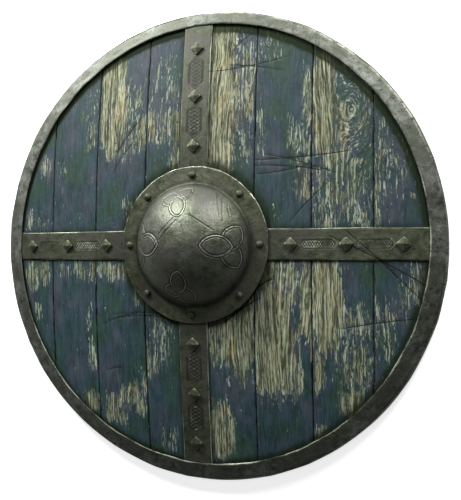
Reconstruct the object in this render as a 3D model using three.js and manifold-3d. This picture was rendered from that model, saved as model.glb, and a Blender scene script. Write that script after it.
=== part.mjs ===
// A wooden round shield, lying on its back with the boss up. Millimetres, +Z up out of the boss,
// +Y towards the shield's top edge, origin on the ground under its centre.
// Eight dished planks are bound by a folded iron rim and crossed by four iron straps that run from
// under the rim to under the boss. Studs and rivets hold them, clenched at the back, where a wooden
// grip bar crosses the hand hole behind the boss.
import * as THREE from 'three';
import { mergeVertices } from 'three/addons/utils/BufferGeometryUtils.js';
import Module from 'manifold-3d';

const wasm = await Module();
wasm.setup();

// --- Driving dimensions -------------------------------------------------------------------------
const SHIELD_RADIUS = 400;
const DOME_RISE = 32; // from the board's edge to its centre
const EDGE_HEIGHT = 11.2; // front of the board above the ground, at the shield's radius
const GAP = 0.3; // between pieces that touch

const BOARD_RADIUS = 395.5;
const BOARD_THICKNESS = 9;
const SEAMS = [-289, -191, -91, 7, 105, 197, 291]; // x of the joints between the eight planks
const SEAM_WIDTH = 0.6;
const HAND_HOLE_RADIUS = 72;

const STRAP_WIDTH = 50;
const STRAP_THICKNESS = 2;
const STRAP_INNER = 104; // from the shield's centre to each strap's inner end
const STRAP_OUTER = 388;
const STUD_RADII = [165, 250, 334];

const RIM_THICKNESS = 2.6;
const RIM_FRONT_INNER = 370; // the lip over the front reaches in to here
const RIM_BACK_INNER = 372;
const RIM_FOOT = [388, 398.5]; // the flat ring that the shield lies on
const RIM_SHOULDER_HEIGHT = 11.5; // the outer wall is upright up to here
const RIM_SHOULDER = [398.8, 14]; // then it turns in to the front lip
const RIM_CREST = 395.2;
const RIM_CHAMFER = 0.8;
const RIM_BACK_CLEARANCE = 0.4;

const FLANGE_RADIUS = 131;
const BOSS_THICKNESS = 2.4;
const DOME_RADIUS = 101.5;
const DOME_HEIGHT = 60; // above the flange
const DOME_FILLET = 3; // where the dome runs out into the flange
const BOSS_RIVET_RADIUS = 116;
const BOSS_RIVETS = 8;

const GRIP_LENGTH = 580;
const BATTEN_WIDTH = 44;
const BATTEN_THICKNESS = 9;
const HANDLE_HALF_LENGTH = 56; // the handle proper, at the middle of the bar
const HANDLE_WIDTH = 31;
const HANDLE_THICKNESS = 22;
const HANDLE_FLARE = 40; // the handle runs out into the batten over this length
const GRIP_END_TAPER = 24;
const GRIP_END_WIDTH = 0.6; // of the batten's width
const HANDLE_SQUARENESS = 0.7; // 1 is round and 0 is square
const BATTEN_SQUARENESS = 0.32;

const SHANK = 2.8;
const SHANK_HOLE = 3.4;
const TAIL_RADIUS = 4.6;
const TAIL_TIP_RADIUS = 3.2;
const TAIL_HEIGHT = 1.8;
const TAIL_EDGE = 0.6; // the upright edge of the clenched tail
const STUD_CORNER = 11.8; // from the stud's middle to a corner of its square head
const STUD_SKIRT = 3.4; // the head's upright sides, under a low pyramid
const STUD_SHOULDER = 11; // to a corner of the pyramid
const STUD_HEIGHT = 6.4;
const RIVET_HEAD_RADIUS = 6.3;
const RIVET_HEAD_HEIGHT = 4.6;
const RIVET_HEAD_TILTS = [30, 60]; // degrees up the round head, where it has a ring of corners

const CARRIED = STRAP_THICKNESS + 2 * GAP; // the rim and the boss clear the board by a strap

// Longer than anything it cuts.
const CUTTER = 200;

// How finely each shape is faceted.
const BOARD_SIDES = 72;
const HAND_HOLE_SIDES = 36;
const RIM_SIDES = 64;
const BOSS_SIDES = 48;
const DOME_STEPS = 8;
const STUD_SIDES = 4;
const RIVET_SIDES = 8;
const GRIP_SIDES = 10;
const GRIP_STEPS = 22;
const PLANK_CELLS = [2, 12, 1];
const STRAP_CELLS = [7, 2, 1];

const PAINTED_WOOD = { color: 0x4b5a68, roughness: 0.75, metalness: 0 };
const BARE_WOOD = { color: 0x7d6a4a, roughness: 0.8, metalness: 0 };
const RIM_IRON = { color: 0x6a6c66, roughness: 0.5, metalness: 0.9 };
const STRAP_IRON = { color: 0x4c5046, roughness: 0.5, metalness: 0.9 };
const BOSS_IRON = { color: 0x5c5e54, roughness: 0.45, metalness: 0.9 };
const STUD_IRON = { color: 0x55584c, roughness: 0.45, metalness: 0.9 };

// --- The board's dished shape -------------------------------------------------------------------
const front = (r) => EDGE_HEIGHT + DOME_RISE * (1 - (r / SHIELD_RADIUS) ** 2);
const back = (r) => front(r) - BOARD_THICKNESS;
const lean = (r) => Math.atan((2 * DOME_RISE * r) / SHIELD_RADIUS ** 2);

// --- Solids and meshes --------------------------------------------------------------------------
function solidOf(geometry) {
  const bare = geometry.clone();
  bare.deleteAttribute('normal');
  bare.deleteAttribute('uv');
  const merged = mergeVertices(bare, 1e-3);
  return new wasm.Manifold(
    new wasm.Mesh({
      numProp: 3,
      vertProperties: merged.attributes.position.array,
      triVerts: new Uint32Array(merged.index.array),
    }),
  );
}

function geometryOf(solid) {
  const mesh = solid.getMesh();
  const geometry = new THREE.BufferGeometry();
  geometry.setAttribute('position', new THREE.BufferAttribute(mesh.vertProperties, 3));
  geometry.setIndex(new THREE.BufferAttribute(mesh.triVerts, 1));
  geometry.computeVertexNormals();
  return geometry;
}

function piece(name, geometry, finish) {
  const mesh = new THREE.Mesh(geometry, new THREE.MeshStandardMaterial(finish));
  mesh.name = name;
  return mesh;
}

// Moves each vertex of a geometry with a function that changes the point it is given.
function reshape(geometry, change) {
  const place = geometry.attributes.position;
  const point = new THREE.Vector3();
  for (let i = 0; i < place.count; i++) {
    point.fromBufferAttribute(place, i);
    change(point);
    place.setXYZ(i, point.x, point.y, point.z);
  }
  return geometry;
}

// A closed outline of [radius, height] pairs turned about the Z axis.
function turned(outline, segments) {
  const points = outline.map(([radius, height]) => new THREE.Vector2(radius, height));
  return new THREE.LatheGeometry(points, segments).rotateX(Math.PI / 2);
}

const rod = (radius, height, segments) =>
  new THREE.CylinderGeometry(radius, radius, height, segments).rotateX(Math.PI / 2);

// --- Seats: where a fastener goes through the board, square to its surface ------------------------
const ARMS = { right: 0, top: Math.PI / 2, left: Math.PI, bottom: 1.5 * Math.PI };

const overGrip = (radius, angle) =>
  Math.abs(Math.sin(angle)) * radius < BATTEN_WIDTH / 2 && radius < GRIP_LENGTH / 2;

// How far below the front of the board the clenched tail bears, through the grip bar if it is there.
const clenchDepth = (radius, angle) =>
  BOARD_THICKNESS + GAP + (overGrip(radius, angle) ? BATTEN_THICKNESS + 2 * GAP : 0);

const studSeats = Object.entries(ARMS).flatMap(([arm, angle]) =>
  STUD_RADII.map((radius, i) => ({
    name: `stud_${arm}_${i + 1}`,
    radius,
    angle,
    sides: STUD_SIDES,
    head: CARRIED,
    depth: clenchDepth(radius, angle),
  })),
);

const rivetSeats = Array.from({ length: BOSS_RIVETS }, (_, i) => {
  const angle = (i * 2 * Math.PI) / BOSS_RIVETS;
  return {
    name: `boss_rivet_${i + 1}`,
    radius: BOSS_RIVET_RADIUS,
    angle,
    sides: RIVET_SIDES,
    head: CARRIED + BOSS_THICKNESS + GAP,
    depth: clenchDepth(BOSS_RIVET_RADIUS, angle),
  };
});

const seatMatrix = ({ radius, angle }) =>
  new THREE.Matrix4()
    .makeRotationZ(angle)
    .multiply(new THREE.Matrix4().makeTranslation(radius, 0, front(radius)))
    .multiply(new THREE.Matrix4().makeRotationY(lean(radius)));

// Every shank's hole in one solid, to cut from whatever the shanks pass through.
const holes = [...studSeats, ...rivetSeats]
  .map((seat) => rod(SHANK_HOLE, CUTTER / 2, seat.sides).applyMatrix4(seatMatrix(seat)))
  .map(solidOf)
  .reduce((all, hole) => all.add(hole));

// --- Planks -------------------------------------------------------------------------------------
const boardDisc = solidOf(rod(BOARD_RADIUS, CUTTER, BOARD_SIDES));
const handHole = solidOf(rod(HAND_HOLE_RADIUS, CUTTER, HAND_HOLE_SIDES));

function plank(index) {
  const left = index === 0 ? -SHIELD_RADIUS : SEAMS[index - 1] + SEAM_WIDTH / 2;
  const right = index === SEAMS.length ? SHIELD_RADIUS : SEAMS[index] - SEAM_WIDTH / 2;
  const slab = new THREE.BoxGeometry(right - left, 2 * SHIELD_RADIUS, BOARD_THICKNESS, ...PLANK_CELLS);
  slab.translate((left + right) / 2, 0, -BOARD_THICKNESS / 2);
  reshape(slab, (p) => {
    p.z += front(Math.hypot(p.x, p.y));
  });
  return geometryOf(solidOf(slab).intersect(boardDisc).subtract(handHole).subtract(holes));
}

// --- Rim: a strip folded over the board's edge ---------------------------------------------------
function rim() {
  const under = (r) => front(r) + CARRIED;
  const over = (r) => under(r) + RIM_THICKNESS;
  const backLip = (r) => back(r) - RIM_BACK_CLEARANCE;
  const channel = SHIELD_RADIUS - RIM_THICKNESS;
  const outline = [
    [RIM_FOOT[1], 0],
    [SHIELD_RADIUS, SHIELD_RADIUS - RIM_FOOT[1]],
    [SHIELD_RADIUS, RIM_SHOULDER_HEIGHT],
    RIM_SHOULDER,
    [RIM_CREST, over(RIM_CREST)],
    [RIM_FRONT_INNER + RIM_CHAMFER, over(RIM_FRONT_INNER)],
    [RIM_FRONT_INNER, over(RIM_FRONT_INNER) - RIM_CHAMFER],
    [RIM_FRONT_INNER, under(RIM_FRONT_INNER)],
    [RIM_CREST, under(RIM_CREST)],
    [channel, RIM_SHOULDER_HEIGHT],
    [channel, backLip(channel)],
    [RIM_BACK_INNER, backLip(RIM_BACK_INNER)],
    [RIM_BACK_INNER, backLip(RIM_BACK_INNER) - RIM_THICKNESS],
    [RIM_FOOT[0], 0],
    [RIM_FOOT[1], 0],
  ];
  return turned(outline, RIM_SIDES);
}

// --- Straps -------------------------------------------------------------------------------------
function strap(angle) {
  const length = STRAP_OUTER - STRAP_INNER;
  const bar = new THREE.BoxGeometry(length, STRAP_WIDTH, STRAP_THICKNESS, ...STRAP_CELLS);
  bar.translate(STRAP_INNER + length / 2, 0, GAP + STRAP_THICKNESS / 2);
  reshape(bar, (p) => {
    p.z += front(Math.hypot(p.x, p.y));
  });
  return geometryOf(solidOf(bar.rotateZ(angle)).subtract(holes));
}

// --- Boss: a hollow dome, beaten from one sheet with its dished flange ----------------------------
function boss() {
  const under = (r) => front(r) + CARRIED;
  const over = (r) => under(r) + BOSS_THICKNESS;
  const sphere = (DOME_RADIUS ** 2 + DOME_HEIGHT ** 2) / (2 * DOME_HEIGHT);
  const hollow = sphere - BOSS_THICKNESS;
  const centre = over(DOME_RADIUS) + DOME_HEIGHT - sphere;
  const cap = (radius, foot) => {
    const widest = Math.acos((foot - centre) / radius);
    return Array.from({ length: DOME_STEPS + 1 }, (_, i) => {
      const tilt = (i / DOME_STEPS) * widest;
      return [radius * Math.sin(tilt), centre + radius * Math.cos(tilt)];
    });
  };
  const outside = cap(sphere, over(DOME_RADIUS) + DOME_FILLET);
  const inside = cap(hollow, under(DOME_RADIUS));
  const outline = [
    ...inside,
    [FLANGE_RADIUS, under(FLANGE_RADIUS)],
    [FLANGE_RADIUS, over(FLANGE_RADIUS)],
    [DOME_RADIUS + DOME_FILLET, over(DOME_RADIUS + DOME_FILLET)],
    ...outside.reverse(),
  ];
  return geometryOf(solidOf(turned(outline, BOSS_SIDES)).subtract(holes));
}

// --- Fasteners: each one turned about its own axis, from the clenched tail up to the head ---------
function fastener(seat, head) {
  const tail = [
    [0, -seat.depth - TAIL_HEIGHT],
    [TAIL_TIP_RADIUS, -seat.depth - TAIL_HEIGHT],
    [TAIL_RADIUS, -seat.depth - TAIL_EDGE],
    [TAIL_RADIUS, -seat.depth],
    [SHANK, -seat.depth],
    [SHANK, seat.head],
  ];
  const placed = turned([...tail, ...head.map(([r, z]) => [r, seat.head + z])], seat.sides);
  const mesh = piece(seat.name, placed, STUD_IRON);
  mesh.position.set(seat.radius, 0, front(seat.radius));
  mesh.rotation.y = lean(seat.radius);
  const arm = new THREE.Group();
  arm.rotation.z = seat.angle;
  arm.add(mesh);
  return arm;
}

const PYRAMID_HEAD = [
  [STUD_CORNER, 0],
  [STUD_SHOULDER, STUD_SKIRT],
  [0, STUD_HEIGHT],
];

const ROUND_HEAD = [
  [RIVET_HEAD_RADIUS, 0],
  ...RIVET_HEAD_TILTS.map((degrees) => {
    const tilt = THREE.MathUtils.degToRad(degrees);
    return [RIVET_HEAD_RADIUS * Math.cos(tilt), RIVET_HEAD_HEIGHT * Math.sin(tilt)];
  }),
  [0, RIVET_HEAD_HEIGHT],
];

// --- Grip: a batten that follows the dished back, with a thicker handle across the hand hole -------
function grip() {
  const { lerp, smoothstep } = THREE.MathUtils;
  const bar = new THREE.CylinderGeometry(1, 1, GRIP_LENGTH, GRIP_SIDES, GRIP_STEPS).rotateZ(Math.PI / 2);
  reshape(bar, (p) => {
    const away = Math.abs(p.x);
    const batten = smoothstep(away, HANDLE_HALF_LENGTH, HANDLE_HALF_LENGTH + HANDLE_FLARE);
    const end = smoothstep(GRIP_LENGTH / 2 - away, 0, GRIP_END_TAPER);
    const width = lerp(HANDLE_WIDTH, BATTEN_WIDTH, batten) * lerp(GRIP_END_WIDTH, 1, end);
    const thickness = lerp(HANDLE_THICKNESS, BATTEN_THICKNESS, batten);
    const squareness = lerp(HANDLE_SQUARENESS, BATTEN_SQUARENESS, batten);
    const rounded = (t) => Math.sign(t) * Math.abs(t) ** squareness;
    p.y = (width / 2) * rounded(p.y);
    p.z = back(away) - 2 * GAP - (thickness / 2) * (1 - rounded(p.z));
  });
  return geometryOf(solidOf(bar).subtract(holes));
}

// --- The shield -----------------------------------------------------------------------------------
const shield = new THREE.Group();
shield.name = 'round_shield';

for (let i = 0; i <= SEAMS.length; i++) shield.add(piece(`plank_${i + 1}`, plank(i), PAINTED_WOOD));

shield.add(piece('iron_rim', rim(), RIM_IRON));

for (const [arm, angle] of Object.entries(ARMS))
  shield.add(piece(`strap_${arm}`, strap(angle), STRAP_IRON));

shield.add(piece('boss', boss(), BOSS_IRON));
shield.add(piece('grip_bar', grip(), BARE_WOOD));

for (const seat of studSeats) shield.add(fastener(seat, PYRAMID_HEAD));
for (const seat of rivetSeats) shield.add(fastener(seat, ROUND_HEAD));

export default shield;
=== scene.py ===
"""The looks of a weathered round shield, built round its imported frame.

Metres, in the frame's own axes: the shield lies on its back, +Z out of the boss, +Y to its top edge.
Small sizes are written in millimetres times MM.
"""
import math

import bpy
import numpy as np
from mathutils import Matrix, Vector


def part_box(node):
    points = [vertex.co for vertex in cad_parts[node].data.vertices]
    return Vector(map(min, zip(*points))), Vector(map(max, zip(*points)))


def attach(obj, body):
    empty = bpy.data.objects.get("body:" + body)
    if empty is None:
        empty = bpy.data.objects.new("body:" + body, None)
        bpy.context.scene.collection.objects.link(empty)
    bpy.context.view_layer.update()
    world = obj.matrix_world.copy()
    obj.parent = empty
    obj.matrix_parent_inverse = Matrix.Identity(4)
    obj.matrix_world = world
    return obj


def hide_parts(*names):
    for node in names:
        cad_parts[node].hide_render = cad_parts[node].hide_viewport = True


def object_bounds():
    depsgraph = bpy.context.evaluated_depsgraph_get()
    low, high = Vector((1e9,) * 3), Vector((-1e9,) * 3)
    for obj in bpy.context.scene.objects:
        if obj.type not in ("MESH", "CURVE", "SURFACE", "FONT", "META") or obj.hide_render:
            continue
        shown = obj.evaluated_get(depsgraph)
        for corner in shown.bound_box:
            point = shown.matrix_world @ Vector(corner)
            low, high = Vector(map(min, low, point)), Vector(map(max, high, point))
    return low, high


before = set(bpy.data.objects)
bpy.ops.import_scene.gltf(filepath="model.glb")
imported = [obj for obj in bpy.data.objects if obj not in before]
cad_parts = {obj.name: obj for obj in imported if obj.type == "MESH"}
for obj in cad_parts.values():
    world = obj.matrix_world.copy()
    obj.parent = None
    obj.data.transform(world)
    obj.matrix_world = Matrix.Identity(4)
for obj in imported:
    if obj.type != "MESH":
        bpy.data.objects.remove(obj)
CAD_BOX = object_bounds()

MM = 0.001

# --- The shield's own sizes, as its frame has them ------------------------------------------------
SHIELD_RADIUS = CAD_BOX[1].x
DOME_RISE = 32 * MM
EDGE_HEIGHT = 11.2 * MM
GAP = 0.3 * MM
BOARD_RADIUS = 395 * MM  # half a millimetre inside the CAD's board
BOARD_THICKNESS = 9 * MM
HAND_HOLE_RADIUS = 72 * MM
STRAP_HALF_WIDTH = 25 * MM
STRAP_THICKNESS = 2 * MM
STRAP_ENDS = (104 * MM, 388 * MM)
STUD_RADII = (165 * MM, 250 * MM, 334 * MM)
RIM_INNER = 370 * MM
RIM_THICKNESS = 2.6 * MM
CARRIED = STRAP_THICKNESS + 2 * GAP
FLANGE_RADIUS = 131 * MM
BOSS_THICKNESS = 2.4 * MM
DOME_RADIUS = 101.5 * MM
DOME_HEIGHT = 60 * MM
RIVET_RADIUS = 116 * MM
RIVETS = 8
JOINT_CLOSING = 0.28 * MM  # the planks meet at the back, across the gap between their CAD solids
GRIP_LENGTH = 580 * MM
GRIP_HALF_WIDTH = 22 * MM
UNDER_GRIP = 9.6 * MM  # the grip bar's batten and the gaps on both sides of it
ARMS = {"right": 0, "top": math.pi / 2, "left": math.pi, "bottom": 1.5 * math.pi}

# --- The planks' wear: x, y, half width, half height in millimetres, and how bare -----------------
WEAR = {
    1: [(-310, 147, 16, 20, 0.62), (-346, 50, 6, 22, 0.62), (-320, 38, 30, 12, 0.35),
        (-340, -55, 18, 26, 0.75), (-308, -50, 14, 24, 0.68), (-327, -122, 8, 14, 0.55)],
    2: [(-204, 201, 13, 26, 0.58), (-268, 141, 14, 18, 0.42), (-210, 252, 20, 30, 0.36),
        (-225, -46, 14, 20, 0.66), (-198, -44, 8, 26, 0.7), (-262, -46, 18, 14, 0.45),
        (-203, -200, 9, 32, 0.58), (-206, -130, 6, 22, 0.5), (-208, -284, 20, 20, 0.85)],
    3: [(-164, 292, 27, 70, 1.0), (-160, 222, 30, 46, 0.95), (-157, 180, 15, 28, 0.85),
        (-112, 228, 13, 52, 0.5), (-98, 200, 8, 34, 0.8), (-122, 172, 26, 26, 0.5),
        (-145, -46, 28, 18, 0.7), (-176, -40, 14, 16, 0.66), (-104, -78, 12, 28, 0.6),
        (-96, -240, 7, 20, 0.6), (-125, -262, 22, 20, 0.72), (-160, -292, 24, 30, 0.72),
        (-104, -282, 12, 18, 0.72), (-120, 66, 22, 22, 0.45)],
    4: [(-56, 262, 26, 70, 0.38), (-80, 205, 10, 30, 0.75), (-36, 206, 12, 36, 0.72),
        (-62, 200, 20, 26, 0.58), (-34, 150, 12, 22, 0.74), (-60, -160, 22, 42, 0.52),
        (-84, -196, 8, 34, 0.66), (-70, -205, 10, 18, 0.6), (-52, -335, 14, 26, 0.48)],
    5: [(46, 250, 26, 150, 1.0), (85, 262, 20, 76, 0.62), (90, 350, 16, 34, 0.42),
        (90, 165, 16, 32, 0.5), (78, -118, 30, 96, 0.96), (40, -155, 16, 46, 0.7),
        (46, -312, 24, 50, 0.88)],
    6: [(160, 186, 8, 24, 0.48), (188, 235, 9, 56, 0.66), (182, 150, 16, 44, 0.52),
        (184, 96, 16, 30, 0.6), (130, 330, 22, 30, 0.42), (116, 182, 8, 40, 0.5),
        (122, -60, 18, 42, 0.74), (140, -150, 34, 90, 1.0), (150, -60, 26, 46, 0.72),
        (188, -88, 10, 68, 0.86), (172, -200, 12, 44, 0.72), (124, -205, 20, 36, 0.85)],
    7: [(214, 230, 18, 96, 0.98), (236, 170, 20, 66, 0.72), (262, 200, 28, 62, 0.47),
        (258, 266, 24, 34, 0.44), (240, 92, 44, 46, 0.64), (222, 44, 24, 24, 0.56),
        (270, 44, 18, 22, 0.52), (222, -96, 25, 78, 0.98), (266, -120, 24, 30, 0.6),
        (262, -190, 34, 36, 0.6), (206, -200, 10, 30, 0.72), (256, -248, 20, 24, 0.78),
        (210, -300, 10, 16, 0.66)],
    8: [(304, 130, 13, 74, 0.46), (330, 128, 14, 42, 0.4), (296, 60, 5, 48, 0.66),
        (348, 74, 4, 4, 1.0), (354, -56, 13, 36, 0.6), (334, -78, 12, 34, 0.45),
        (306, -134, 16, 54, 0.5)],
}
PAINT_ISLANDS = [(171, -114, 9, 24), (183, -168, 13, 24), (116, -60, 5, 30), (270, -62, 19, 32)]

# Each plank's heart line, which its growth rings arch round: x in millimetres, and how far they lean
# off the line, up or down, to the metre. Knots near a heart line: x, y and size in millimetres.
HEARTS = {1: (-420, 0.02), 2: (-190, -0.025), 3: (-150, -0.03), 4: (40, 0.02),
          5: (66, 0.035), 6: (150, -0.045), 7: (196, 0.01), 8: (180, 0.03)}
KNOTS = {7: [(258, 208, 34)]}

# Sword cuts: from x, y to x, y, half width, and bow to one side, all in millimetres.
CUTS = [
    (248, 22, 368, -94, 1.1, 2), (224, 13, 390, -77, 1.1, 3), (239, -132, 371, -111, 0.7, 2),
    (-157, 152, -96, 228, 0.8, 3), (-156, 126, -114, 182, 0.7, 4), (24, 292, 156, 305, 0.7, -4),
    (52, 301, 152, 281, 0.6, 2), (60, 322, 98, 352, 0.6, 2), (103, 137, 262, 146, 0.8, -3),
    (110, 113, 196, 126, 0.6, -2), (105, 128, 222, 114, 0.7, 3), (118, 146, 236, 110, 0.6, 3),
    (162, 33, 228, 101, 0.6, 3), (-166, -134, -60, -124, 0.35, 6), (-178, -142, -64, -116, 0.4, 8),
    (-160, -124, -50, -119, 0.3, 5), (-170, -223, -140, -216, 0.5, 2), (64, -119, 139, -48, 0.8, 3),
    (52, -130, 121, -83, 0.7, 3), (108, -68, 143, -53, 0.6, 1),
]
FAR_FROM_CUTS = 9.0  # the distance to the nearest cut, where there is none close by
NO_CUT_WIDTH = -0.5  # the half width there: below zero, so that no mark shows between two cuts

# Scrapes down to pale wood: from x, y to x, y, and bow to one side, all in millimetres.
SCRAPES = [
    (-72, 317, -98, 222, 7), (-61, 317, -38, 240, 3), (-97, 297, -122, 236, 5),
    (-128, 300, -122, 236, -3), (167, -34, 173, -128, -6), (174, -122, 168, -258, 7),
    (192, -30, 194, -190, 3), (246, -150, 268, -212, 8), (282, -130, 268, -212, -8),
]

# The plaited panels on the straps: half width and length of a wave in millimetres, how proud the
# border is, and how bright the raised lines are worn. Then each strap's painted shade all over.
WIDE_PANEL = (15, 26, 0.3, 0.5)
NARROW_PANEL = (8.5, 16, 1.0, 0.68)
PANELS = {"right": NARROW_PANEL, "top": WIDE_PANEL, "left": NARROW_PANEL, "bottom": WIDE_PANEL}
STRAP_PAINTED_SHADE = {"right": 0.0, "top": 0.3, "left": 0.0, "bottom": 0.0}

# The knots on the dome: azimuth in degrees, distance from the top over the curve in millimetres, size,
# twist in degrees, and strength. Then its cuts: from x, y to x, y in millimetres, and strength.
DOME_KNOTS = [
    (-3, 79, 1.0, 0, 1.0), (100, 80, 0.82, -10, 0.95), (180, 87, 1.12, 0, 1.15), (263, 78, 0.8, 4, 1.3),
]
DOME_CUTS = [
    (-4, 40, -35, 6, 0.8), (-9, 44, -38, 14, 0.7), (13, 49, 55, 21, 0.9), (3, 33, 15, 7, 0.45),
    (47, 86, 61, 41, 0.6), (58, 73, 66, 34, 0.6), (66, 67, 75, 38, 0.5), (-30, 30, -40, -4, 0.3),
]


# --- Shapes and noise -----------------------------------------------------------------------------
def front(r):
    """The height of the board's painted face."""
    return EDGE_HEIGHT + DOME_RISE * (1 - (r / SHIELD_RADIUS) ** 2)


def lean(r):
    """The slope of the board's painted face, as an angle."""
    return math.atan(2 * DOME_RISE * r / SHIELD_RADIUS**2)


def smooth(t):
    t = np.clip(t, 0, 1)
    return t * t * (3 - 2 * t)


def bump(distance, width):
    return np.exp(-((distance / width) ** 2))


def noise(x, y, seed):
    """Smooth noise from -1 to 1, with one bump to each unit of x and y."""
    x, y = np.broadcast_arrays(np.asarray(x, float), np.asarray(y, float))
    column, row = np.floor(x).astype(np.int64), np.floor(y).astype(np.int64)

    def corner(i, j):
        h = (i * 374761393 + j * 668265263 + seed * 974634777) & 0x7FFFFFFF
        h = ((h ^ (h >> 13)) * 1274126177) & 0x7FFFFFFF
        return (h ^ (h >> 16)) / 0x3FFFFFFF - 1

    u, v = smooth(x - column), smooth(y - row)
    low = corner(column, row) * (1 - u) + corner(column + 1, row) * u
    high = corner(column, row + 1) * (1 - u) + corner(column + 1, row + 1) * u
    return low * (1 - v) + high * v


def layered(x, y, seed, layers=3):
    return sum(noise(x * 2**k, y * 2**k, seed + k) / 2**k for k in range(layers))


# --- Meshes ---------------------------------------------------------------------------------------
def make_piece(name, points, faces, fields, material):
    """A piece of the shield that stands for the CAD node of its own name."""
    mesh = bpy.data.meshes.new(name)
    corners = points[faces[:, :3]]
    volume = np.einsum("ij,ij->i", corners[:, 0], np.cross(corners[:, 1], corners[:, 2])).sum()
    faces = faces if volume > 0 else faces[:, ::-1]
    mesh.from_pydata(points.tolist(), [], [list(dict.fromkeys(f)) for f in faces.tolist()])
    for key, values in fields.items():
        layer = mesh.attributes.new(key, "FLOAT_VECTOR", "POINT")
        layer.data.foreach_set("vector", np.ascontiguousarray(values, np.float32).ravel())
    mesh.shade_smooth()
    mesh.set_sharp_from_angle(angle=math.radians(50))
    mesh.materials.append(material)
    piece = bpy.data.objects.new(f"{name}_finished", mesh)
    bpy.context.scene.collection.objects.link(piece)
    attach(piece, "root")
    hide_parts(name)


def loft(rings, fields, ring_closed=False):
    """Faces along rows of rings. Open rows are capped with a point at each end."""
    count, around = rings.shape[:2]
    index = np.arange(count * around).reshape(count, around)
    here = index if ring_closed else index[:-1]
    following = np.roll(index, -1, axis=0) if ring_closed else index[1:]
    quads = np.stack([here, np.roll(here, -1, 1), np.roll(following, -1, 1), following], -1)
    points, faces = rings.reshape(-1, 3), quads.reshape(-1, 4)
    fields = {key: values.reshape(-1, 3) for key, values in fields.items()}
    if not ring_closed:
        first, last = index[0], index[-1]
        start, end = np.full(around, len(points)), np.full(around, len(points) + 1)
        caps = [np.stack([np.roll(first, -1), first, start, start], -1),
                np.stack([last, np.roll(last, -1), end, end], -1)]
        faces = np.concatenate([faces, *caps])
        points = np.vstack([points, rings[0].mean(0), rings[-1].mean(0)])
        fields = {key: np.vstack([v, v[first].mean(0), v[last].mean(0)]) for key, v in fields.items()}
    return points, faces, fields


def field_solid(top, bottom, keep):
    """A solid between two grids of points, where keep says which cells are wood."""
    rows, columns = top.shape[:2]
    total = rows * columns
    index = np.arange(total).reshape(rows, columns)
    cells = np.stack([index[:-1, :-1], index[:-1, 1:], index[1:, 1:], index[1:, :-1]], -1)[keep]
    edges = np.concatenate([cells[:, [k, (k + 1) % 4]] for k in range(4)])
    outline = edges[~np.isin(edges[:, 0] * total + edges[:, 1], edges[:, 1] * total + edges[:, 0])]
    a, b = outline.T
    walls = np.stack([b, a, a + total, b + total], -1)
    faces = np.concatenate([cells, cells[:, ::-1] + total, walls])
    used, inverse = np.unique(faces, return_inverse=True)
    points = np.concatenate([top.reshape(-1, 3), bottom.reshape(-1, 3)])[used]
    return points, inverse.reshape(faces.shape), used


def corners_of(cells):
    """Which grid points touch any of the marked cells."""
    touched = np.zeros((cells.shape[0] + 1, cells.shape[1] + 1), bool)
    for rows in (slice(0, -1), slice(1, None)):
        for columns in (slice(0, -1), slice(1, None)):
            touched[rows, columns] |= cells
    return touched


def placed(points, angle):
    """Points turned about the shield's axis."""
    c, s = math.cos(angle), math.sin(angle)
    return points @ np.array([[c, s, 0], [-s, c, 0], [0, 0, 1]])


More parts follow.
